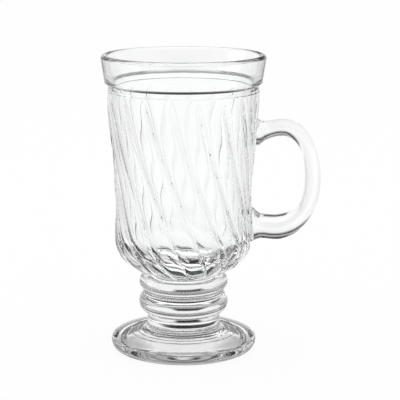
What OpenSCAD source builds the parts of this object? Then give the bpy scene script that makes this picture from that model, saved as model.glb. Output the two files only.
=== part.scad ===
// Footed glass mug for hot coffee: a tall bowl pressed with swirled flutes, a plain
// flared rim band, a stem of two rounded rings, a domed foot and a D-shaped handle.
// Clear pressed glass throughout. Millimetres, +Z up. The origin is the centre of the
// circle that the foot stands on, and the handle points along +X.

/* [Foot] */
// Widest radius of the foot
foot_r = 35.5; // [32:0.1:40]
// Width of the rounded edge outside the flat ring that the foot stands on
foot_edge_w = 5; // [3.5:0.1:7]
// Width of that flat ring
foot_rest_w = 1.5; // [1:0.1:6]
// Height of the foot's widest line above the table
foot_edge_h = 4.8; // [3:0.1:6]
// Height of the foot's top beside the stem
foot_top_h = 9.3; // [8:0.1:11]
// Height of the foot at its joint with the stem
foot_h = 12.3; // [11.5:0.1:14]
// Distance from the stem's fillet to the first of the two low rings on the foot's top
foot_ring_in = 1.6; // [0.8:0.1:2.5]
// Distance between the two rings
foot_ring_gap = 3.3; // [1.5:0.1:4]
// Height of each ring's step
foot_ring_step = 0.3; // [0:0.05:0.5]
// Depth of the hollow under the foot
foot_hollow_depth = 3.8; // [1:0.1:6]

/* [Stem] */
// Radius of the stem between its rings, and at its joints
stem_r = 18; // [16.5:0.1:19]
// How far the neck is drawn in at its waist
neck_waist = 0.3; // [0:0.05:1]
// Height of the neck between the foot and the lower ring
neck_h = 5.95; // [4:0.05:8]
// How far the lower ring stands out from the stem
lower_knop_out = 3.9; // [2.5:0.1:5]
// Height of the lower ring
lower_knop_h = 11.1; // [9:0.1:13]
// How far the upper ring stands out from the stem
upper_knop_out = 3.75; // [2.5:0.05:4.2]
// Height of the upper ring
upper_knop_h = 8.5; // [8:0.1:11]

/* [Bowl] */
// Height of the bowl from the stem to the rim band
bowl_h = 92.35; // [80:0.05:110]
// Height of the curved bottom of the bowl
bowl_curve_h = 17; // [14:0.1:20]
// Outer radius over the ridges between the flutes, just above the curve
bowl_low_r = 33.4; // [30:0.1:35]
// Outer radius over the ridges near their tops
bowl_top_r = 36.6; // [34:0.1:39]
// How far the fluted part stands proud of the plain collar above it
flute_proud = 0.3; // [0:0.05:1]
// Height of the small step between the two
flute_step_h = 0.6; // [0.2:0.1:1]
// Height of that plain collar
collar_h = 2.7; // [2:0.1:6]
// Height of the upright stretch of the side below the collar
side_upright_h = 5; // [2:0.1:8]
// Wall of the bowl at the ridges, just above the curve
wall_low_t = 4.3; // [3.5:0.1:6]
// Wall of the plain collar
wall_top_t = 2.6; // [1.8:0.1:4]
// Thickness of glass between the stem and the floor inside
floor_t = 7; // [4:0.1:10]
// Height of the curved part of the inside
floor_curve_h = 14.5; // [8:0.1:16]

/* [Flutes] */
// Number of hollow flutes around the bowl
flute_count = 18; // [14:1:20]
// Depth of the flutes between their ridges
flute_depth = 1.35; // [0.6:0.05:1.6]
// Turn of each flute from its top to the stem, in degrees
flute_turn = 58; // [20:1:90]
// Height over which the top of each flute fades out
flute_fade_h = 20; // [5:0.5:30]

/* [Rim band] */
// Height of the rim band with its lip
band_h = 14.8; // [12:0.1:22]
// How far the band stands out over the collar
band_out = 1.65; // [0.8:0.05:2.5]
// How far the band flares between its shoulder and the lip
band_flare = 1.75; // [0:0.05:3]
// Height of the sloping shoulder under the band
band_shoulder_h = 1.5; // [0.8:0.1:3]
// Thickness of the lip
lip_t = 3.3; // [2:0.1:3.6]

/* [Handle] */
// Drop of the handle's upper arm below the rim band
handle_drop = 20.8; // [19:0.1:30]
// Rise of the handle's lower arm above the stem
handle_rise = 22.9; // [20:0.1:26]
// Reach of the handle's centre line from the bowl's side
handle_reach = 29.3; // [24:0.1:36]
// Half thickness of the handle's grip, seen from the side
handle_t = 3.85; // [3:0.05:5]
// Half width of the handle's grip, across its plane
handle_w = 4.9; // [4:0.1:6]
// How much the handle swells all round where it meets the bowl
handle_flare = 2.9; // [1:0.1:4]
// Length of that swelling
handle_flare_l = 8; // [4:0.1:10]

/* [Hidden] */

// Joint heights, each worked out from the pieces below it
neck_z = foot_h;
lower_knop_z = neck_z + neck_h;
upper_knop_z = lower_knop_z + lower_knop_h;
bowl_z = upper_knop_z + upper_knop_h;
band_z = bowl_z + bowl_h;
mug_h = band_z + band_h;

// Radii on the foot, each worked out from its neighbour
foot_rest_r = foot_r - foot_edge_w;
foot_hollow_r = foot_rest_r - foot_rest_w;
foot_fillet_r = foot_h - foot_top_h;
foot_dome_end_r = stem_r + foot_fillet_r;
foot_inner_ring_r = foot_dome_end_r + foot_ring_in;
foot_outer_ring_r = foot_inner_ring_r + foot_ring_gap;

// Levels on the bowl
bowl_curve_z = bowl_z + bowl_curve_h;
flute_top_z = band_z - collar_h;
side_full_z = flute_top_z - side_upright_h;
floor_z = bowl_z + floor_t;
floor_curve_z = floor_z + floor_curve_h;

// Radii that follow the bowl's side
collar_r = bowl_top_r - flute_proud;
throat_r = collar_r - wall_top_t;
cavity_low_r = bowl_low_r - wall_low_t;
band_low_r = collar_r + band_out;
band_top_r = band_low_r + band_flare;

// Glass tints
glass = [0.86, 0.90, 0.90, 0.45];
glass_thick = [0.78, 0.84, 0.84, 0.5];

// One overrun for every cut
over = 1;
// Segments of the round solids
turned_fn = 180;
// Points along a rounded stretch of an outline
arc_steps = 10;
// Points along the tapered inside
taper_steps = 14;
// Points along half a low ring's step
step_points = 4;

// Powers of the curves: 2 is an ellipse, more is squarer, less is more pointed
edge_power = 2.25;
dome_power = 2.6;
floor_power = 2.5;
side_power = 5;
cavity_power = 1.8;
turn_power = 1.3;
fade_power = 2;
flare_power = 3;

// The bowl's curved bottom is an arc of an ellipse, upright where it meets the side
bottom_arc_deg = 61;
bottom_arc_rx = (bowl_low_r - stem_r) / (1 - cos(bottom_arc_deg));
bottom_arc_rz = bowl_curve_h / sin(bottom_arc_deg);

// Facets of the fluted skin, whose rings on the side draw together towards the flutes' tops
flute_facets = 6;
side_rings = 27;
curve_rings = 16;
ring_power = 1.35;
skin_sides = flute_count * flute_facets;

// The handle's centre line from the upper joint round to the lower one: reach from the
// bowl's side, height above the lower arm, and half thickness
handle_path_shares = [
    [-0.09, 0.950, 1.05],
    [0.18, 0.975, 1.05],
    [0.45, 1.005, 1.05],
    [0.66, 0.980, 1.04],
    [0.85, 0.875, 0.97],
    [0.96, 0.710, 0.93],
    [1.00, 0.500, 0.99],
    [0.97, 0.310, 1.00],
    [0.87, 0.165, 1.06],
    [0.67, 0.050, 1.38],
    [0.45, 0.000, 1.60],
    [0.18, 0.005, 1.54],
    [-0.09, 0.025, 1.50]
];
// How much of the lower arm's extra thickness also shows in its width
arm_width_share = 0.45;

// Facets of the handle
handle_sides = 20;
path_steps = 4;

// Half angle of the wedges that trim the handle
wedge_deg = 32;

// A value between two others
function mix(a, b, u) = a + (b - a) * u;

// A smooth rise from 0 to 1 as u goes from 0 to 1
function ease(u) = let (v = min(max(u, 0), 1)) v * v * (3 - 2 * v);

// Points of a rounded quarter about a centre, as an ellipse or squarer by its power
function quarter(centre, radii, from, to, power = 2) = [
    for (i = [0 : arc_steps])
        let (a = mix(from, to, i / arc_steps))
            [centre.x + radii.x * squared(cos(a), power), centre.y + radii.y * squared(sin(a), power)]
];
function squared(v, power) = sign(v) * pow(abs(v), 2 / power);

// Inner radius of the straight-sided part of the bowl at a height
function cavity_r(z) =
    mix(cavity_low_r, throat_r, pow((z - floor_curve_z) / (band_z - floor_curve_z), cavity_power));

// Outer radius over the ridges at a height on the bowl's side
function side_r(z) =
    let (u = min(max((z - bowl_curve_z) / (side_full_z - bowl_curve_z), 0), 1))
        mix(bowl_low_r, bowl_top_r, pow(sin(90 * u), side_power));

// Rings of the skin from the stem to the band, each with its crest radius and height
skin_line = concat(
    [for (i = [0 : curve_rings - 1])
        let (a = bottom_arc_deg * (1 - i / curve_rings))
            [bowl_low_r - bottom_arc_rx * (1 - cos(a)), bowl_curve_z - bottom_arc_rz * sin(a)]],
    [for (i = [0 : side_rings])
        let (z = mix(bowl_curve_z, flute_top_z, 1 - pow(1 - i / side_rings, ring_power)))
            [side_r(z), z]],
    [[collar_r, flute_top_z + flute_step_h], [collar_r, band_z]]
);

// How deep the flutes are at a height: 0 at their tops, and 1 where they are full
function flute_rise(z) =
    let (u = min(max((flute_top_z - z) / flute_fade_h, 0), 1)) 1 - pow(1 - u, fade_power);

// How far a flute has turned at a height: faster where the bowl narrows
function flute_angle(z) =
    let (u = max((flute_top_z - z) / (flute_top_z - bowl_z), 0)) flute_turn * pow(u, turn_power);

// Height across a flute: 0 in the middle of its hollow, and 1 on the sharp ridges beside it
function flute_lift(a) =
    let (t = a * flute_count / 360, s = 2 * (t - floor(t)) - 1) s * s;

// Radius of the fluted skin on a ring, at an angle
function skin_r(ring, a) =
    let (
        crest = ring[0],
        z = ring[1],
        depth = flute_depth * sqrt(crest / bowl_top_r) * flute_rise(z)
    )
    crest - depth * (1 - flute_lift(a - flute_angle(z)));

// A point on one ring of the skin, counted by its side so that the mesh follows the flutes
function skin_corner(ring, j) =
    let (a = j * 360 / skin_sides + flute_angle(ring[1]), r = skin_r(ring, a))
        [r * cos(a), r * sin(a), ring[1]];

// A closed skin over rings of points that all have the same number of sides
module ringed_solid(rings) {
    sides = len(rings[0]);
    last = len(rings) - 1;
    walls = [
        for (i = [0 : last - 1])
            for (j = [0 : sides - 1])
                let (a = i * sides + j, b = i * sides + (j + 1) % sides, c = a + sides, d = b + sides)
                    each [[a, d, b], [a, c, d]]
    ];
    first_end = [for (j = [0 : sides - 1]) j];
    last_end = [for (j = [sides - 1 : -1 : 0]) last * sides + j];
    polyhedron(points = [for (ring = rings) each ring], faces = concat(walls, [first_end, last_end]));
}

// The bowl's outside as a solid: flutes that swirl as they run down
module fluted_skin() {
    ringed_solid([for (ring = skin_line) [for (j = [0 : skin_sides - 1]) skin_corner(ring, j)]]);
}

// The wedge of that solid that lies behind one joint of the handle
module skin_wedge(z) {
    half_h = 2 * handle_t + 2 * handle_flare;
    middle = round(-flute_angle(z) * skin_sides / 360);
    half_sides = ceil(wedge_deg * skin_sides / 360);
    ringed_solid([
        for (ring = skin_line)
            if (abs(ring[1] - z) < half_h)
                concat(
                    [[0, 0, ring[1]]],
                    [for (j = [middle - half_sides : middle + half_sides]) skin_corner(ring, j)]
                )
    ]);
}

// The inside of the bowl and throat, as a turned solid open past the top
module cavity() {
    rotate_extrude($fn = turned_fn)
        polygon(concat(
            [[0, band_z + over]],
            quarter([0, floor_curve_z], [cavity_low_r, floor_curve_h], -90, 0, floor_power),
            [for (i = [1 : taper_steps])
                let (z = mix(floor_curve_z, band_z, i / taper_steps)) [cavity_r(z), z]],
            [[throat_r, band_z + over]]
        ));
}

module bowl() {
    color(glass)
        difference() {
            fluted_skin();
            cavity();
        }
}

// The plain flared band above the flutes, with a rounded lip
module rim_band() {
    lip_r = lip_t / 2;
    lip_z = mug_h - lip_r;
    color(glass)
        rotate_extrude($fn = turned_fn)
            union() {
                polygon([
                    [throat_r, band_z],
                    [collar_r, band_z],
                    [band_low_r, band_z + band_shoulder_h],
                    [band_top_r, lip_z],
                    [band_top_r - lip_t, lip_z]
                ]);
                translate([band_top_r - lip_r, lip_z]) circle(r = lip_r, $fn = turned_fn);
            }
}

// A half-round ring of solid glass round the stem
module knop(z, h, out) {
    bead_r = h / 2;
    color(glass_thick)
        rotate_extrude($fn = turned_fn)
            union() {
                translate([0, z]) square([stem_r, h]);
                translate([stem_r + out - bead_r, z + bead_r]) circle(r = bead_r, $fn = turned_fn);
            }
}

module lower_knop() {
    knop(lower_knop_z, lower_knop_h, lower_knop_out);
}

module upper_knop() {
    knop(upper_knop_z, upper_knop_h, upper_knop_out);
}

// The short neck, waisted between the foot and the lower ring
module stem_neck() {
    color(glass_thick)
        rotate_extrude($fn = turned_fn)
            polygon(concat(
                [[0, neck_z]],
                [for (i = [0 : arc_steps])
                    let (u = i / arc_steps)
                        [stem_r - neck_waist * sin(180 * u), neck_z + neck_h * u]],
                [[0, neck_z + neck_h]]
            ));
}

// Height of a low ring's step at a radius
function ring_step(r, ring_r) = foot_ring_step * ease((ring_r - r) / foot_ring_step / 2 + 1 / 2);

// The foot: a domed disc with a rounded edge, two low rings on top and a hollow below
module foot() {
    ring_radii = [foot_outer_ring_r, foot_inner_ring_r];
    dome_top_h = foot_top_h - len(ring_radii) * foot_ring_step;
    dome = quarter(
        [foot_dome_end_r, foot_edge_h], [foot_r - foot_dome_end_r, dome_top_h - foot_edge_h],
        0, 90, dome_power
    );
    // The dome's height is read between its points, so that the rings can step up from it
    function dome_h(r) = lookup(-r, [for (p = dome) [-p.x, p.y]]);
    color(glass_thick)
        rotate_extrude($fn = turned_fn)
            polygon(concat(
                quarter([0, 0], [foot_hollow_r, foot_hollow_depth], 90, 0),
                quarter([foot_rest_r, foot_edge_h], [foot_edge_w, foot_edge_h], -90, 0, edge_power),
                [for (p = dome) if (p.x > foot_outer_ring_r + foot_ring_step) p],
                [for (ring_r = ring_radii)
                    for (k = [-step_points : step_points])
                        let (r = ring_r - k * foot_ring_step / step_points)
                            [r, dome_h(r) + ring_step(r, foot_outer_ring_r) + ring_step(r, foot_inner_ring_r)]],
                quarter([foot_dome_end_r, foot_h], [foot_fillet_r, foot_fillet_r], -90, -180),
                [[0, foot_h]]
            ));
}

// A smooth curve through rows of a table: the value between row i and the next, at a share u
function between(rows, i, u) =
    let (
        n = len(rows) - 1,
        p0 = rows[max(i - 1, 0)],
        p1 = rows[i],
        p2 = rows[min(i + 1, n)],
        p3 = rows[min(i + 2, n)]
    )
    (2 * p1 + (p2 - p0) * u + (2 * p0 - 5 * p1 + 4 * p2 - p3) * u * u
        + (3 * p1 - p0 - 3 * p2 + p3) * u * u * u) / 2;

handle_low_z = bowl_z + handle_rise;
handle_top_z = band_z - handle_drop;

// Points of the handle's centre line: [distance from the axis, height, half thickness]
handle_line = [
    for (i = [0 : len(handle_path_shares) - 2])
        for (k = [0 : path_steps - 1])
            handle_point(between(handle_path_shares, i, k / path_steps)),
    handle_point(handle_path_shares[len(handle_path_shares) - 1])
];
function handle_point(share) = [
    bowl_low_r + handle_reach * share[0],
    mix(handle_low_z, handle_top_z, share[1]),
    handle_t * share[2]
];

// A section of the handle at one point of its centre line
function handle_ring(i) =
    let (
        p = handle_line[i],
        before = handle_line[max(i - 1, 0)],
        after = handle_line[min(i + 1, len(handle_line) - 1)],
        along = [after.x - before.x, after.y - before.y],
        side = [-along.y, along.x] / norm(along),
        from_wall = min(max((p.x - side_r(p.y)) / handle_flare_l, 0), 1),
        flare = handle_flare * pow(1 - from_wall, flare_power),
        half_t = p[2] + flare,
        half_w = handle_w + arm_width_share * (p[2] - handle_t) + flare
    )
    [for (j = [0 : handle_sides - 1])
        let (a = 360 * j / handle_sides, u = half_t * cos(a))
            [p.x + side.x * u, half_w * sin(a), p.y + side.y * u]];

module handle() {
    color(glass)
        difference() {
            ringed_solid([for (i = [0 : len(handle_line) - 1]) handle_ring(i)]);
            skin_wedge(handle_top_z);
            skin_wedge(handle_low_z);
        }
}

foot();
stem_neck();
lower_knop();
upper_knop();
bowl();
rim_band();
handle();
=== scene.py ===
"""The looks of the footed glass mug: clear pressed glass sections, drawn finely round the
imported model's own sizes, on a pale floor in front of a white backdrop. Lengths are in metres."""
import math

import bpy
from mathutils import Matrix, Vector

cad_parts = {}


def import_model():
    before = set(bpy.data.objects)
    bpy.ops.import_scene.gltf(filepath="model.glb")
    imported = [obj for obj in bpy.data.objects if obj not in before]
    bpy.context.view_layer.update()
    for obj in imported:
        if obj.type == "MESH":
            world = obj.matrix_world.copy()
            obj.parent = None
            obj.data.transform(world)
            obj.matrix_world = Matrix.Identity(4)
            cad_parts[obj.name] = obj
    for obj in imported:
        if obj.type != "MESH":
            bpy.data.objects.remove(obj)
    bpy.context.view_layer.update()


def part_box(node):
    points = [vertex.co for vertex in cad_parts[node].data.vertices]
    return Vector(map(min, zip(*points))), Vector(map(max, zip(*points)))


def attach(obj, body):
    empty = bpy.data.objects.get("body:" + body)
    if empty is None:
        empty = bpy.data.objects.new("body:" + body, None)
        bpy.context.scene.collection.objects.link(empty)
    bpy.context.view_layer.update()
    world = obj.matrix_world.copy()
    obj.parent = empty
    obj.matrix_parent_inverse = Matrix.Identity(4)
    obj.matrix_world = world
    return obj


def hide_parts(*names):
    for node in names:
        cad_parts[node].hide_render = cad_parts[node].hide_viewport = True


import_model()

MM = 0.001

# Heights of the joints and outer radii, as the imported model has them
FOOT_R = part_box("foot")[1].y
FOOT_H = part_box("foot")[1].z
NECK_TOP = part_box("stem_neck")[1].z
LOWER_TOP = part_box("lower_knop")[1].z
UPPER_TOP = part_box("upper_knop")[1].z
LOWER_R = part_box("lower_knop")[1].y
UPPER_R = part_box("upper_knop")[1].y
STEM_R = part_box("stem_neck")[1].y
BOWL_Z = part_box("bowl")[0].z
BAND_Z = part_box("bowl")[1].z
BAND_TOP_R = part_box("rim_band")[1].y
MUG_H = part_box("rim_band")[1].z

# Sizes of the foot
REST_R = 30.5 * MM
EDGE_H = 4.8 * MM
FOOT_TOP_H = 9.3 * MM
OUTER_RING_R = 25.9 * MM
INNER_RING_R = 22.6 * MM
RING_STEP = 0.3 * MM
HOLLOW_R = 29 * MM
HOLLOW_DEPTH = 3.8 * MM
HOLLOW_EDGE = 0.6 * MM
NECK_WAIST = 0.3 * MM
EDGE_POWER = 2.25
DOME_POWER = 2.6
# Arcs in degrees: the hollow from near the axis outwards, and the rounding at its edge
HOLLOW_ARC = (88, 6)
HOLLOW_EDGE_ARC = (-170, -90)
# How far outside the rings the fine points start and the plain ones end, in ring steps
RING_FINE_STEPS = 2
RING_PLAIN_STEPS = 2.3

# Sizes of the bowl and its flutes, which are drawn shallower than the part's and flatter in
# their middles, because the photo shows them as thin lines
CURVE_H = 17 * MM
LOW_R = 33.4 * MM
TOP_R = 36.6 * MM
COLLAR_R = 36.3 * MM
COLLAR_H = 2.7 * MM
WALL_LOW = 4.3 * MM
WALL_TOP = 2.6 * MM
FLOOR_T = 7 * MM
FLOOR_CURVE_H = 14.5 * MM
FLUTE_COUNT = 18
FLUTE_DEPTH = 1.05 * MM
FLUTE_POWER = 4.5
RIDGE_SOFT = 0.035
FLUTE_FADE_H = 16 * MM
FADE_POWER = 2
FLUTE_LOW_SHARE = 0.4
STEP_H = 0.5 * MM
FLUTE_TURN = math.radians(58)
SIDE_UPRIGHT_H = 5 * MM
BOTTOM_ARC = math.radians(61)
FLOOR_POWER = 2.5
SIDE_POWER = 5
CAVITY_POWER = 1.8
TURN_POWER = 1.3

# Sizes of the rim band
BAND_OUT = 1.65 * MM
SHOULDER_H = 1.5 * MM
LIP_T = 3.3 * MM
SHOULDER_SOFT = 0.5 * MM
SHOULDER_RISE_SHARE = 0.3
SHOULDER_ARC = (-40, 8)

# Sizes of the handle
HANDLE_DROP = 20.8 * MM
HANDLE_RISE = 22.9 * MM
HANDLE_REACH = 29.3 * MM
HANDLE_T = 3.85 * MM
HANDLE_W = 4.9 * MM
HANDLE_FLARE = 2.9 * MM
FLARE_L = 8 * MM
FLARE_POWER = 3
ARM_WIDTH_SHARE = 0.45
FLARE_WIDTH_SHARE = 0.35
# Shares of the reach and height of points along the handle, and of its thickness there
HANDLE_PATH_SHARES = [
    (0.18, 0.975, 1.05),
    (0.45, 1.005, 1.05),
    (0.66, 0.980, 1.04),
    (0.85, 0.875, 0.97),
    (0.96, 0.710, 0.93),
    (1.00, 0.500, 0.99),
    (0.97, 0.310, 1.00),
    (0.87, 0.165, 1.06),
    (0.67, 0.050, 1.38),
    (0.45, 0.000, 1.60),
    (0.18, 0.005, 1.54),
]
# Where the arms end inside the bowl's wall, for the weld, with the shares of height and
# thickness there
UPPER_ROOT_X = 32.5 * MM
UPPER_ROOT_SHARES = (0.960, 1.05)
LOWER_ROOT_X = 30.3 * MM
LOWER_ROOT_SHARES = (0.020, 1.50)

CURVE_Z = BOWL_Z + CURVE_H
FLUTE_TOP_Z = BAND_Z - COLLAR_H
SIDE_FULL_Z = FLUTE_TOP_Z - SIDE_UPRIGHT_H
FLOOR_Z = BOWL_Z + FLOOR_T
FLOOR_CURVE_Z = FLOOR_Z + FLOOR_CURVE_H
THROAT_R = COLLAR_R - WALL_TOP
CAVITY_LOW_R = LOW_R - WALL_LOW
BOTTOM_RX = (LOW_R - STEM_R) / (1 - math.cos(BOTTOM_ARC))
BOTTOM_RZ = CURVE_H / math.sin(BOTTOM_ARC)

# Fineness of the meshes, in rings or steps
FLUTE_FACETS = 16
SKIN_RINGS = 130
CURVE_RINGS = 44
SIDE_CROWDING = 1.35
STEP_RINGS = 6
CAVITY_RINGS = 60
WALL_RINGS = 24
DOME_STEPS = 40
FOOT_EDGE_STEPS = 30
HOLLOW_EDGE_STEPS = 6
RING_FINENESS = 3
FILLET_STEPS = 16
NECK_STEPS = 16
KNOP_STEPS = 48
LIP_STEPS = 40
SLOPE_RINGS = 4
SHOULDER_STEPS = 8
COLLAR_RING_SHARE = 0.6
ARC_STEPS = 20
PATH_STEPS = 14
HANDLE_SIDES = 56
RIDGE_CROWDING = 0.8
CREASE = math.radians(50)
GLASS, WELD = 0, 1


def mix(a, b, u):
    return a + (b - a) * u


def ease(u):
    v = min(max(u, 0.0), 1.0)
    return v * v * (3 - 2 * v)


def squared(v, power):
    return math.copysign(abs(v) ** (2 / power), v)


def quarter(centre, radii, start, end, power=2, steps=ARC_STEPS):
    """Points (radius, height) of a rounded quarter, an ellipse or squarer by its power."""
    points = []
    for i in range(steps + 1):
        a = math.radians(mix(start, end, i / steps))
        points.append((
            centre[0] + radii[0] * squared(math.cos(a), power),
            centre[1] + radii[1] * squared(math.sin(a), power),
        ))
    return points


def flute_angles():
    """The angles of the vertices round the mug, closer together beside each ridge."""
    angles = []
    for flute in range(FLUTE_COUNT):
        for k in range(FLUTE_FACETS):
            t = k / FLUTE_FACETS
            t = mix(t, (1 - math.cos(math.pi * t)) / 2, RIDGE_CROWDING)
            angles.append(math.tau * (flute + t) / FLUTE_COUNT)
    return angles


ANGLES = flute_angles()


def flute_angle(z):
    """How far the flutes have turned at a height, from their tops down."""
    u = max((FLUTE_TOP_Z - z) / (FLUTE_TOP_Z - BOWL_Z), 0)
    return FLUTE_TURN * u ** TURN_POWER


def flute_lift(a):
    """Height across a flute: 0 in its middle and near 1 on the softly rounded ridges."""
    t = a * FLUTE_COUNT / math.tau
    from_ridge = 1 - abs(2 * (t - math.floor(t)) - 1)
    if from_ridge > RIDGE_SOFT:
        return (1 - from_ridge) ** FLUTE_POWER
    # A parabola over the ridge, which meets the flute's side in height and slope
    side = (1 - RIDGE_SOFT) ** FLUTE_POWER
    slope = FLUTE_POWER * side / (1 - RIDGE_SOFT)
    return side + slope / 2 * (RIDGE_SOFT - from_ridge * from_ridge / RIDGE_SOFT)


def side_r(z):
    """Radius over the ridges above the rounded bottom."""
    u = min(max((z - CURVE_Z) / (SIDE_FULL_Z - CURVE_Z), 0), 1)
    return mix(LOW_R, TOP_R, math.sin(math.pi / 2 * u) ** SIDE_POWER)


def flute_rise(z):
    """How deep the flutes are at a height: nothing at their tops and 1 further down."""
    u = min(max((FLUTE_TOP_Z - z) / FLUTE_FADE_H, 0), 1)
    return 1 - (1 - u) ** FADE_POWER


def skin_r(crest, z, a):
    """Radius of the fluted outside. The flutes get shallower down the rounded bottom."""
    low = mix(FLUTE_LOW_SHARE, 1, ease((z - BOWL_Z) / CURVE_H))
    depth = FLUTE_DEPTH * math.sqrt(crest / TOP_R) * flute_rise(z) * low
    return crest - depth * (1 - flute_lift(a))


def circle(r, z, turn=0.0):
    return [(r * math.cos(a + turn), r * math.sin(a + turn), z) for a in ANGLES]


def skin_ring(crest, z):
    turn = flute_angle(z)
    ring = []
    for a in ANGLES:
        r = skin_r(crest, z, a)
        ring.append((r * math.cos(a + turn), r * math.sin(a + turn), z))
    return ring


def new_object(name, verts, faces, face_materials, materials):
    mesh = bpy.data.meshes.new(name)
    mesh.from_pydata(verts, [], faces)
    for m in materials:
        mesh.materials.append(m)
    mesh.polygons.foreach_set("material_index", face_materials)
    mesh.validate()
    mesh.update()
    obj = bpy.data.objects.new(name, mesh)
    bpy.context.scene.collection.objects.link(obj)
    return obj


def loft(name, rings, bands, materials):
    """A closed solid over rings of points, from a pole up, over and back to a pole.
    bands gives the material of the faces between each ring and the next."""
    n = len(ANGLES)
    verts, starts = [], []
    for ring in rings:
        starts.append(len(verts))
        verts += ring
    faces, face_materials = [], []
    for i, material in enumerate(bands):
        a, b = starts[i], starts[i + 1]
        for j in range(n):
            k = (j + 1) % n
            if len(rings[i]) == 1:
                faces.append((a, b + j, b + k)[::-1])
            elif len(rings[i + 1]) == 1:
                faces.append((a + j, a + k, b))
            else:
                faces.append((a + j, a + k, b + k, b + j))
            face_materials.append(material)
    return new_object(name, verts, faces, face_materials, materials)


def turned(name, outline, bands, materials, turn=FLUTE_TURN):
    """A solid of revolution. The outline runs from the axis below to the axis above."""
    rings = []
    for r, z in outline:
        rings.append([(0, 0, z)] if r == 0 else circle(r, z, turn))
    return loft(name, rings, bands, materials)


def finish_surface(obj):
    """Smooth faces, with a crease where a weld begins and at true corners."""
    mesh = obj.data
    mesh.polygons.foreach_set("use_smooth", [True] * len(mesh.polygons))
    mesh.set_sharp_from_angle(angle=CREASE)
    material_of = {}
    for poly in mesh.polygons:
        for key in poly.edge_keys:
            material_of.setdefault(key, set()).add(poly.material_index)
    sharp = mesh.attributes.get("sharp_edge")
    if sharp is None:
        sharp = mesh.attributes.new("sharp_edge", "BOOLEAN", "EDGE")
    for edge in mesh.edges:
        if len(material_of.get(edge.key, ())) > 1:
            sharp.data[edge.index].value = True
    mesh.update()


def applied(obj):
    """A new mesh of the object with its modifiers worked in."""
    graph = bpy.context.evaluated_depsgraph_get()
    mesh = bpy.data.meshes.new_from_object(obj.evaluated_get(graph))
    obj.modifiers.clear()
    old = obj.data
    obj.data = mesh
    bpy.data.meshes.remove(old)


def cut(obj, cutter):
    m = obj.modifiers.new("cut", "BOOLEAN")
    m.operation = "DIFFERENCE"
    m.solver = "EXACT"
    m.material_mode = "TRANSFER"
    m.object = cutter
    applied(obj)


# Materials

CLEAR = (0.985, 0.99, 0.99)
# The solid stem and foot are thick enough to look slightly grey
THICK = (0.94, 0.945, 0.945)
GLASS_IOR = 1.5
# The fineness and the strength of the waves in each glass
BOWL_WAVES = (90, 0.05)
STEM_WAVES = (120, 0.03)
HANDLE_WAVES = (80, 0.03)
WAVE_DETAIL = 2
WAVE_DEPTH = 0.5 * MM


def principled(name):
    material = bpy.data.materials.new(name)
    material.use_nodes = True
    return material, material.node_tree, material.node_tree.nodes["Principled BSDF"]


def wavy(tree, bsdf, fineness, strength):
    """The slight waviness that a mould leaves in pressed glass."""
    coords = tree.nodes.new("ShaderNodeTexCoord")
    noise = tree.nodes.new("ShaderNodeTexNoise")
    noise.inputs["Scale"].default_value = fineness
    noise.inputs["Detail"].default_value = WAVE_DETAIL
    bump = tree.nodes.new("ShaderNodeBump")
    bump.inputs["Strength"].default_value = strength
    bump.inputs["Distance"].default_value = WAVE_DEPTH
    tree.links.new(coords.outputs["Object"], noise.inputs["Vector"])
    tree.links.new(noise.outputs["Fac"], bump.inputs["Height"])
    tree.links.new(bump.outputs["Normal"], bsdf.inputs["Normal"])


def glass_material(name, colour, waves):
    material, tree, bsdf = principled(name)
    bsdf.inputs["Base Color"].default_value = (*colour, 1)
    bsdf.inputs["Roughness"].default_value = 0.0
    bsdf.inputs["IOR"].default_value = GLASS_IOR
    bsdf.inputs["Transmission Weight"].default_value = 1.0
    wavy(tree, bsdf, *waves)
    return material


def weld_material():
    """Inside the glass, where two sections are fused: nothing to see."""
    material, _, bsdf = principled("fused_joint")
    bsdf.inputs["Base Color"].default_value = (1, 1, 1, 1)
    bsdf.inputs["Alpha"].default_value = 0.0
    return material


bowl_glass = glass_material("bowl_glass", CLEAR, BOWL_WAVES)
stem_glass = glass_material("stem_glass", THICK, STEM_WAVES)
handle_glass = glass_material("handle_glass", CLEAR, HANDLE_WAVES)
fused = weld_material()


# The pieces


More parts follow.
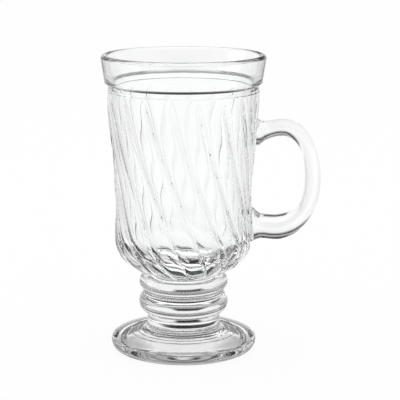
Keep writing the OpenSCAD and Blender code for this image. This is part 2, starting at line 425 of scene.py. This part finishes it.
def foot():
    fillet = FOOT_H - FOOT_TOP_H
    dome_end_r = STEM_R + fillet
    dome = quarter(
        (dome_end_r, EDGE_H), (FOOT_R - dome_end_r, FOOT_TOP_H - 2 * RING_STEP - EDGE_H),
        0, 90, DOME_POWER, DOME_STEPS,
    )

    def dome_h(r):
        for (r0, z0), (r1, z1) in zip(dome, dome[1:]):
            if r1 <= r <= r0:
                return mix(z0, z1, (r0 - r) / max(r0 - r1, 1e-9))
        return dome[-1][1]

    def step(r, ring_r):
        return RING_STEP * ease((ring_r - r) / RING_STEP / 2 + 0.5)

    top = []
    r = OUTER_RING_R + RING_FINE_STEPS * RING_STEP
    while r > dome_end_r:
        top.append((r, dome_h(r) + step(r, OUTER_RING_R) + step(r, INNER_RING_R)))
        r -= RING_STEP / RING_FINENESS
    # The hollow below, its rounded edge, the outer edge and the dome, from the axis to the stem
    outline = [(0, HOLLOW_DEPTH)]
    outline += quarter((0, 0), (HOLLOW_R - HOLLOW_EDGE, HOLLOW_DEPTH), *HOLLOW_ARC)
    outline += quarter(
        (HOLLOW_R + HOLLOW_EDGE, HOLLOW_EDGE / 2), (HOLLOW_EDGE, HOLLOW_EDGE / 2),
        *HOLLOW_EDGE_ARC, steps=HOLLOW_EDGE_STEPS,
    )
    outline += quarter(
        (REST_R, EDGE_H), (FOOT_R - REST_R, EDGE_H), -90, 0, EDGE_POWER, FOOT_EDGE_STEPS,
    )[:-1]
    outline += [p for p in dome if p[0] > OUTER_RING_R + RING_PLAIN_STEPS * RING_STEP]
    outline += top
    outline += quarter((dome_end_r, FOOT_H), (fillet, fillet), -90, -180, steps=FILLET_STEPS)
    bands = [GLASS] * (len(outline) - 1) + [WELD]
    outline.append((0, FOOT_H))
    return turned("foot_glass", outline, bands, [stem_glass, fused])


def neck():
    height = NECK_TOP - FOOT_H
    side = [
        (STEM_R - NECK_WAIST * math.sin(math.pi * i / NECK_STEPS), FOOT_H + height * i / NECK_STEPS)
        for i in range(NECK_STEPS + 1)
    ]
    outline = [(0, FOOT_H)] + side + [(0, NECK_TOP)]
    bands = [WELD] + [GLASS] * NECK_STEPS + [WELD]
    return turned("neck_glass", outline, bands, [stem_glass, fused])


def knop_side(low, high, belly_r):
    """The outline of a half-round ring, from where it leaves the stem to where it returns."""
    bead_r = (high - low) / 2
    centre = (belly_r - bead_r, low + bead_r)
    reach = STEM_R - centre[0]
    limit = 90 if reach <= 0 else math.degrees(math.acos(reach / bead_r))
    arc = []
    for i in range(KNOP_STEPS + 1):
        a = math.radians(mix(-limit, limit, i / KNOP_STEPS))
        arc.append((centre[0] + bead_r * math.cos(a), centre[1] + bead_r * math.sin(a)))
    return arc


def lower_knop():
    arc = knop_side(NECK_TOP, LOWER_TOP, LOWER_R)
    arc = [(STEM_R, NECK_TOP)] + arc + [(STEM_R, LOWER_TOP)]
    outline = [(0, NECK_TOP)] + arc + [(0, LOWER_TOP)]
    bands = [WELD] + [GLASS] * (len(arc) - 1) + [WELD]
    return turned("lower_knop_glass", outline, bands, [stem_glass, fused])


def upper_knop():
    arc = knop_side(LOWER_TOP, UPPER_TOP, UPPER_R)
    rings = [[(0, 0, LOWER_TOP)], circle(STEM_R, LOWER_TOP, FLUTE_TURN)]
    rings += [circle(r, z, FLUTE_TURN) for r, z in arc]
    rings += [skin_ring(STEM_R, UPPER_TOP), [(0, 0, UPPER_TOP)]]
    bands = [WELD] + [GLASS] * (len(rings) - 3) + [WELD]
    return loft("upper_knop_glass", rings, bands, [stem_glass, fused])


def skin_rings():
    """The outside of the bowl: the rounded bottom, the side, the step and the collar."""
    rings = []
    for i in range(CURVE_RINGS):
        a = BOTTOM_ARC * (1 - i / CURVE_RINGS)
        crest = LOW_R - BOTTOM_RX * (1 - math.cos(a))
        rings.append(skin_ring(crest, CURVE_Z - BOTTOM_RZ * math.sin(a)))
    for i in range(SKIN_RINGS + 1):
        z = mix(CURVE_Z, FLUTE_TOP_Z, 1 - (1 - i / SKIN_RINGS) ** SIDE_CROWDING)
        rings.append(skin_ring(side_r(z), z))
    for i in range(1, STEP_RINGS + 1):
        u = i / STEP_RINGS
        r = mix(side_r(FLUTE_TOP_Z), COLLAR_R, ease(u))
        rings.append(circle(r, FLUTE_TOP_Z + STEP_H * i / STEP_RINGS))
    rings.append(circle(COLLAR_R, mix(FLUTE_TOP_Z, BAND_Z, COLLAR_RING_SHARE)))
    rings.append(circle(COLLAR_R, BAND_Z))
    return rings


def cavity_outline():
    """The smooth inside, from the joint with the rim band down to the floor's centre."""
    points = []
    for i in range(CAVITY_RINGS):
        u = 1 - i / CAVITY_RINGS
        z = mix(FLOOR_CURVE_Z, BAND_Z, u)
        points.append((mix(CAVITY_LOW_R, THROAT_R, u ** CAVITY_POWER), z))
    points += quarter(
        (0, FLOOR_CURVE_Z), (CAVITY_LOW_R, FLOOR_CURVE_H), 0, -90, FLOOR_POWER, CAVITY_RINGS,
    )[:-1]
    return points


def bowl():
    """The bowl, and a blank of its outside without the cavity, which trims the handle."""
    skin = skin_rings()
    inside = cavity_outline()
    rings = [[(0, 0, BOWL_Z)]] + skin + [circle(r, z) for r, z in inside] + [[(0, 0, FLOOR_Z)]]
    bands = [WELD] + [GLASS] * (len(skin) - 1) + [WELD] + [GLASS] * len(inside)
    solid = loft("bowl_glass", rings, bands, [bowl_glass, fused])
    rings = [[(0, 0, BOWL_Z)]] + skin + [[(0, 0, BAND_Z)]]
    blank = loft("bowl_blank", rings, [GLASS] * (len(rings) - 1), [fused])
    return solid, blank


def rim_band():
    lip_r = LIP_T / 2
    lip_z = MUG_H - lip_r
    outline = [(THROAT_R, BAND_Z), (COLLAR_R, BAND_Z)]
    shoulder_r = COLLAR_R + BAND_OUT
    shoulder_z = BAND_Z + SHOULDER_H
    soft = SHOULDER_SOFT
    outline += [
        (mix(COLLAR_R, shoulder_r, i / SLOPE_RINGS), mix(BAND_Z, shoulder_z, i / SLOPE_RINGS))
        for i in range(1, SLOPE_RINGS)
    ]
    outline += quarter(
        (shoulder_r - soft, shoulder_z + soft * SHOULDER_RISE_SHARE), (soft, soft),
        *SHOULDER_ARC, steps=SHOULDER_STEPS,
    )
    outline += [
        (mix(shoulder_r, BAND_TOP_R, i / WALL_RINGS), mix(shoulder_z + soft, lip_z, i / WALL_RINGS))
        for i in range(2, WALL_RINGS)
    ]
    outline += quarter((BAND_TOP_R - lip_r, lip_z), (lip_r, lip_r), 0, 180, steps=LIP_STEPS)
    inner_r = BAND_TOP_R - LIP_T
    outline += [
        (mix(inner_r, THROAT_R, i / WALL_RINGS), mix(lip_z, BAND_Z, i / WALL_RINGS))
        for i in range(1, WALL_RINGS + 1)
    ]
    rings = [circle(r, z) for r, z in outline]
    n = len(ANGLES)
    verts = [p for ring in rings[:-1] for p in ring]
    faces, face_materials = [], []
    count = len(rings) - 1
    for i in range(count):
        a, b = i * n, ((i + 1) % count) * n
        for j in range(n):
            k = (j + 1) % n
            faces.append((a + j, a + k, b + k, b + j))
            face_materials.append(WELD if i == 0 else GLASS)
    return new_object("rim_band_glass", verts, faces, face_materials, [bowl_glass, fused])


def between(rows, i, u):
    """A smooth curve through rows of numbers, a share u of the way from row i to the next."""
    n = len(rows) - 1
    p0, p1 = rows[max(i - 1, 0)], rows[i]
    p2, p3 = rows[min(i + 1, n)], rows[min(i + 2, n)]
    out = []
    for a, b, c, d in zip(p0, p1, p2, p3):
        out.append(
            (2 * b + (c - a) * u + (2 * a - 5 * b + 4 * c - d) * u ** 2
             + (3 * b - a - 3 * c + d) * u ** 3) / 2
        )
    return out


def handle_line():
    """Points (reach, height, half thickness) along the middle of the handle, from its top."""
    low_z = BOWL_Z + HANDLE_RISE
    top_z = BAND_Z - HANDLE_DROP
    upper_root = ((UPPER_ROOT_X - LOW_R) / HANDLE_REACH, *UPPER_ROOT_SHARES)
    lower_root = ((LOWER_ROOT_X - LOW_R) / HANDLE_REACH, *LOWER_ROOT_SHARES)
    rows = [upper_root] + HANDLE_PATH_SHARES + [lower_root]
    line = []
    for i in range(len(rows) - 1):
        for k in range(PATH_STEPS):
            line.append(between(rows, i, k / PATH_STEPS))
    line.append(rows[-1])
    return [
        (LOW_R + HANDLE_REACH * x, mix(low_z, top_z, z), HANDLE_T * t) for x, z, t in line
    ]


def handle():
    line = handle_line()
    verts, faces = [], []
    for i, (x, z, half_t) in enumerate(line):
        before, after = line[max(i - 1, 0)], line[min(i + 1, len(line) - 1)]
        along = Vector((after[0] - before[0], after[1] - before[1])).normalized()
        if i in (0, len(line) - 1):
            along = Vector((1 if i == 0 else -1, 0))
        from_wall = min(max((x - side_r(z)) / FLARE_L, 0), 1)
        flare = HANDLE_FLARE * (1 - from_wall) ** FLARE_POWER
        half_w = HANDLE_W + ARM_WIDTH_SHARE * (half_t - HANDLE_T) + FLARE_WIDTH_SHARE * flare
        for j in range(HANDLE_SIDES):
            a = math.tau * j / HANDLE_SIDES
            u = (half_t + flare) * math.cos(a)
            verts.append((x - along.y * u, half_w * math.sin(a), z + along.x * u))
    for i in range(len(line) - 1):
        for j in range(HANDLE_SIDES):
            a, b = i * HANDLE_SIDES + j, i * HANDLE_SIDES + (j + 1) % HANDLE_SIDES
            faces.append((a, a + HANDLE_SIDES, b + HANDLE_SIDES, b)[::-1])
    last = (len(line) - 1) * HANDLE_SIDES
    faces.append(tuple(range(HANDLE_SIDES))[::-1])
    faces.append(tuple(last + j for j in range(HANDLE_SIDES)))
    return new_object("handle_glass", verts, faces, [GLASS] * len(faces), [handle_glass, fused])


def weld_handle(handle_obj, bowl_obj, blank):
    """Trims the handle to the bowl's flutes and marks the same patch on the bowl, so that the
    glass runs through the joint with no skin between."""
    plug = handle_obj.copy()
    plug.data = handle_obj.data.copy()
    plug.data.materials[GLASS] = fused
    bpy.context.scene.collection.objects.link(plug)
    cut(handle_obj, blank)
    cut(bowl_obj, plug)
    for obj in (plug, blank):
        bpy.data.objects.remove(obj)


foot_obj = foot()
neck_obj = neck()
lower_obj = lower_knop()
upper_obj = upper_knop()
bowl_obj, blank = bowl()
band_obj = rim_band()
handle_obj = handle()
weld_handle(handle_obj, bowl_obj, blank)
for obj, node, slot in (
    (foot_obj, "foot", "foot_glass"),
    (neck_obj, "stem_neck", "stem_glass"),
    (lower_obj, "lower_knop", "stem_glass"),
    (upper_obj, "upper_knop", "stem_glass"),
    (bowl_obj, "bowl", "bowl_glass"),
    (band_obj, "rim_band", "bowl_glass"),
    (handle_obj, "handle", "handle_glass"),
):
    finish_surface(obj)
    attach(obj, "root")
    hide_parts(node)


# The studio: a white floor and a white world, as the camera sees them. Rays that come through
# or off the glass see grey levels there instead. Those are pale at the horizon, behind the mug
# and at its left, and dark near the camera and in a gap above the horizon, which draws the
# edges of the glass. Levels by direction go from the back, clockwise as seen from above

LEVEL_MAX = 1.5
FLOOR_HALF = 6.0
FLOOR_WHITE = (0.92, 0.92, 0.92, 1)
FLOOR_CAMERA_SHARE = 0.93
FLOOR_UNDER_BACK = 1.4
FLOOR_UNDER_FRONT = 0.95
FLOOR_UNDER_EDGE = 0.6
FLOOR_REST = 0.4
FLOOR_NEAR_LEVELS = (1.00, 0.75, 0.65, 0.40, 0.00, 0.40, 0.65, 0.75)
FLOOR_MID_LEVELS = (1.00, 1.00, 1.25, 0.70, 0.00, 0.70, 1.27, 1.00)
FLOOR_FAR_LEVELS = (
    1.00, 0.90, 0.74, 0.85, 1.03, 1.10, 1.15, 1.10, 1.00, 1.10, 1.20, 1.25, 1.25, 0.95, 0.74, 0.90,
)
# From where to where each of them comes in: along Y for the back, else outwards from the axis
UNDER_BACK_STEP = (-0.004, 0.006)
UNDER_EDGE_STEP = (0.019, 0.026)
REST_STEP = (0.030, 0.031)
NEAR_STEP = (0.035, 0.037)
MID_STEP = (0.065, 0.095)
FAR_STEP = (0.13, 0.17)
# Strips of floor behind the mug that its stem and handle shade: X, half the width, length
STEM_SHADOW = (-0.004, 0.010, 0.075)
HANDLE_SHADOW = (0.052, 0.020, 0.042)
SHADOW_LEVEL = 0.03
SHADOW_SIDE_SHARES = (0.7, 1.3)
SHADOW_END_L = 0.015
SHADOW_START_STEP = (0.01, 0.0)

WORLD_LIGHT = 0.9
SKY_HORIZON = 0.95
SKY_LOW_LEVELS = (0.45, 0.45, 0.10, 0.00, 0.00, 0.10, 1.30, 0.60)
SKY_MID_LEVELS = (0.06, 0.35, 0.10, 0.20, 0.00, 0.00, 0.10, 0.10)
SKY_HIGH_LEVELS = (0.20, 0.30, 0.50, 0.70, 0.80, 0.70, 0.50, 0.30)
# From which height to which each comes in, as the upward part of a direction of length 1
SKY_LOW_STEP = (0.12, 0.16)
SKY_MID_STEP = (0.46, 0.56)
SKY_HIGH_STEP = (0.70, 0.83)
# The dark gap's lower and upper edges, and how much further up it goes away from the back
GAP_SHARE = 0.9
GAP_START_STEP = (0.21, 0.24)
GAP_END_STEP = (0.335, 0.31)
GAP_RISE = 0.07
GAP_RISE_TURN_STEP = (0.01, 0.06)

# Two lamps: place, width and length, and radiance, on a scale where white has 1
LEFT_LAMP = ((-1.2, 0.1, 0.3), (0.6, 0.5), 1.7)
TOP_LAMP = ((0, 0.1, 1.4), (1.0, 1.0), 0.8)
LAMP_AIM = (0, 0, 0.07)

# The camera as the photo's perspective gives it, with its lens in the photo's pixels
PHOTO_WIDTH = 400
CAMERA_LENS_PX = 1520.5
CAMERA_SHIFT_PX = 16.5
CAMERA_AT = (0, -0.7255, 0.22094)
CAMERA_TILT = 0.2
CAMERA_CLIP = 0.01
SENSOR_MM = 36

GLASS_BOUNCES = 24
CLEAR_BOUNCES = 32
MIRROR_BOUNCES = 8


def calc(tree, operation, *values):
    """A Math node over sockets and plain numbers."""
    node = tree.nodes.new("ShaderNodeMath")
    node.operation = operation
    for i, value in enumerate(values):
        if isinstance(value, (int, float)):
            node.inputs[i].default_value = value
        else:
            tree.links.new(value, node.inputs[i])
    return node.outputs[0]


def greatest(tree, sockets):
    last = sockets[0]
    for socket in sockets[1:]:
        last = calc(tree, "MAXIMUM", last, socket)
    return last


def blended(tree, low, high, share):
    """Passes from one value to another by a share, each a socket or a number."""
    node = tree.nodes.new("ShaderNodeMix")
    for name, value in (("A", low), ("B", high), ("Factor", share)):
        if isinstance(value, (int, float)):
            node.inputs[name].default_value = value
        else:
            tree.links.new(value, node.inputs[name])
    return node.outputs["Result"]


def smooth_step(tree, socket, start, end):
    """Rises smoothly from 0 to 1 as a socket goes from start to end."""
    node = tree.nodes.new("ShaderNodeMapRange")
    node.interpolation_type = "SMOOTHSTEP"
    node.inputs["From Min"].default_value = start
    node.inputs["From Max"].default_value = end
    tree.links.new(socket, node.inputs["Value"])
    return node.outputs["Result"]


def round_levels(tree, turn, levels):
    """Brightness by direction, eased from each level to the next."""
    node = tree.nodes.new("ShaderNodeValToRGB")
    ramp = node.color_ramp
    ramp.interpolation = "EASE"
    count = len(levels)
    while len(ramp.elements) < count + 1:
        ramp.elements.new(0.5)
    for i, element in enumerate(ramp.elements):
        element.position = i / count
    for i, element in enumerate(ramp.elements):
        v = levels[i % count] / LEVEL_MAX
        element.color = (v, v, v, 1)
    tree.links.new(turn, node.inputs["Fac"])
    return calc(tree, "MULTIPLY", node.outputs["Color"], LEVEL_MAX)


def split(tree, vector):
    parts = tree.nodes.new("ShaderNodeSeparateXYZ")
    tree.links.new(vector, parts.inputs["Vector"])
    return parts.outputs["X"], parts.outputs["Y"], parts.outputs["Z"]


def turn_of(tree, x, y):
    """The share of a full turn of a direction round the mug, from the back clockwise."""
    return calc(tree, "FRACT", calc(tree, "DIVIDE", calc(tree, "ARCTAN2", x, y), math.tau))


def glass_rays(tree, path):
    return greatest(tree, [path.outputs["Is Transmission Ray"], path.outputs["Is Glossy Ray"]])


def out_of_shadow(tree, x, y, strip):
    """0 in a strip of floor that the mug shades and 1 around it."""
    middle, half_w, length = strip
    aside = calc(tree, "ABSOLUTE", calc(tree, "SUBTRACT", x, middle))
    inner, outer = SHADOW_SIDE_SHARES
    beside = smooth_step(tree, aside, half_w * inner, half_w * outer)
    beyond = smooth_step(tree, y, length, length + SHADOW_END_L)
    before = smooth_step(tree, y, *SHADOW_START_STEP)
    return greatest(tree, [beside, beyond, before])


def floor_level(tree):
    """The floor's level for the glass, from under the foot outwards."""
    position = tree.nodes.new("ShaderNodeNewGeometry").outputs["Position"]
    length = tree.nodes.new("ShaderNodeVectorMath")
    length.operation = "LENGTH"
    tree.links.new(position, length.inputs[0])
    distance = length.outputs["Value"]
    x, y, _ = split(tree, position)
    turn = turn_of(tree, x, y)

    def outwards(inside, outside, step):
        return blended(tree, inside, outside, smooth_step(tree, distance, *step))

    level = outwards(FLOOR_UNDER_FRONT, FLOOR_UNDER_EDGE, UNDER_EDGE_STEP)
    level = blended(tree, level, FLOOR_UNDER_BACK, smooth_step(tree, y, *UNDER_BACK_STEP))
    level = outwards(level, FLOOR_REST, REST_STEP)
    clear = calc(
        tree, "MINIMUM",
        out_of_shadow(tree, x, y, STEM_SHADOW), out_of_shadow(tree, x, y, HANDLE_SHADOW),
    )
    near = blended(tree, SHADOW_LEVEL, round_levels(tree, turn, FLOOR_NEAR_LEVELS), clear)
    level = outwards(level, near, NEAR_STEP)
    mid = blended(tree, SHADOW_LEVEL, round_levels(tree, turn, FLOOR_MID_LEVELS), clear)
    level = outwards(level, mid, MID_STEP)
    return outwards(level, round_levels(tree, turn, FLOOR_FAR_LEVELS), FAR_STEP)


def floor():
    """A floor that is part white by itself for the camera and part lit, for the shadow."""
    mesh = bpy.data.meshes.new("floor")
    h = FLOOR_HALF
    mesh.from_pydata([(-h, -h, 0), (h, -h, 0), (h, h, 0), (-h, h, 0)], [], [(0, 1, 2, 3)])
    obj = bpy.data.objects.new("floor", mesh)
    bpy.context.scene.collection.objects.link(obj)
    material, tree, bsdf = principled("floor_white")
    bsdf.inputs["Base Color"].default_value = FLOOR_WHITE
    bsdf.inputs["Roughness"].default_value = 1
    bsdf.inputs["Specular IOR Level"].default_value = 0
    path = tree.nodes.new("ShaderNodeLightPath")
    camera_ray = path.outputs["Is Camera Ray"]
    white = tree.nodes.new("ShaderNodeEmission")
    white.inputs["Color"].default_value = (1, 1, 1, 1)
    tree.links.new(blended(tree, floor_level(tree), 1, camera_ray), white.inputs["Strength"])
    share = greatest(tree, [
        calc(tree, "MULTIPLY", camera_ray, FLOOR_CAMERA_SHARE), glass_rays(tree, path),
    ])
    blend = tree.nodes.new("ShaderNodeMixShader")
    tree.links.new(share, blend.inputs["Fac"])
    tree.links.new(bsdf.outputs["BSDF"], blend.inputs[1])
    tree.links.new(white.outputs["Emission"], blend.inputs[2])
    tree.links.new(blend.outputs["Shader"], tree.nodes["Material Output"].inputs["Surface"])
    mesh.materials.append(material)


def sky_level(tree, turn, height):
    """The world's level for the glass, from the horizon up."""
    turned_round = calc(tree, "FRACT", calc(tree, "ADD", turn, 0.5))
    from_back = calc(tree, "ABSOLUTE", calc(tree, "SUBTRACT", turned_round, 0.5))
    away = smooth_step(tree, from_back, *GAP_RISE_TURN_STEP)
    gap_height = calc(tree, "SUBTRACT", height, calc(tree, "MULTIPLY", away, GAP_RISE))
    gap = calc(
        tree, "MULTIPLY",
        smooth_step(tree, height, *GAP_START_STEP), smooth_step(tree, gap_height, *GAP_END_STEP),
    )
    low = round_levels(tree, turn, SKY_LOW_LEVELS)
    low = calc(tree, "MULTIPLY", low, blended(tree, 1, 1 - GAP_SHARE, gap))
    level = blended(tree, SKY_HORIZON, low, smooth_step(tree, height, *SKY_LOW_STEP))
    mid = round_levels(tree, turn, SKY_MID_LEVELS)
    level = blended(tree, level, mid, smooth_step(tree, height, *SKY_MID_STEP))
    high = round_levels(tree, turn, SKY_HIGH_LEVELS)
    return blended(tree, level, high, smooth_step(tree, height, *SKY_HIGH_STEP))


def world():
    scene = bpy.context.scene
    w = bpy.data.worlds.new("studio")
    scene.world = w
    w.use_nodes = True
    tree = w.node_tree
    background = tree.nodes["Background"]
    path = tree.nodes.new("ShaderNodeLightPath")
    coords = tree.nodes.new("ShaderNodeTexCoord")
    x, y, height = split(tree, coords.outputs["Generated"])
    level = sky_level(tree, turn_of(tree, x, y), height)
    level = blended(tree, WORLD_LIGHT, level, glass_rays(tree, path))
    level = blended(tree, level, 1, path.outputs["Is Camera Ray"])
    tree.links.new(level, background.inputs["Strength"])
    background.inputs["Color"].default_value = (1, 1, 1, 1)


def softbox(name, at, size, radiance):
    """A rectangular lamp that faces the mug, hidden from the camera."""
    data = bpy.data.lights.new(name, "AREA")
    data.shape = "RECTANGLE"
    data.size, data.size_y = size
    data.energy = radiance * math.pi * size[0] * size[1]
    obj = bpy.data.objects.new(name, data)
    obj.location = at
    obj.rotation_euler = (Vector(LAMP_AIM) - Vector(at)).to_track_quat("-Z", "Y").to_euler()
    obj.visible_camera = False
    bpy.context.scene.collection.objects.link(obj)


def lamps():
    softbox("left_box", *LEFT_LAMP)
    softbox("top_box", *TOP_LAMP)


def camera():
    scene = bpy.context.scene
    data = bpy.data.cameras.new("camera")
    data.sensor_width = SENSOR_MM
    data.lens = CAMERA_LENS_PX / PHOTO_WIDTH * SENSOR_MM
    data.shift_x = CAMERA_SHIFT_PX / PHOTO_WIDTH
    data.clip_start = CAMERA_CLIP
    obj = bpy.data.objects.new("camera", data)
    scene.collection.objects.link(obj)
    obj.location = CAMERA_AT
    obj.rotation_euler = (math.pi / 2 - CAMERA_TILT, 0, 0)
    scene.camera = obj


floor()
world()
lamps()
camera()
scene = bpy.context.scene
scene.view_settings.view_transform = "Standard"
scene.cycles.max_bounces = GLASS_BOUNCES
scene.cycles.transmission_bounces = GLASS_BOUNCES
scene.cycles.transparent_max_bounces = CLEAR_BOUNCES
scene.cycles.glossy_bounces = MIRROR_BOUNCES

bpy.context.view_layer.update()
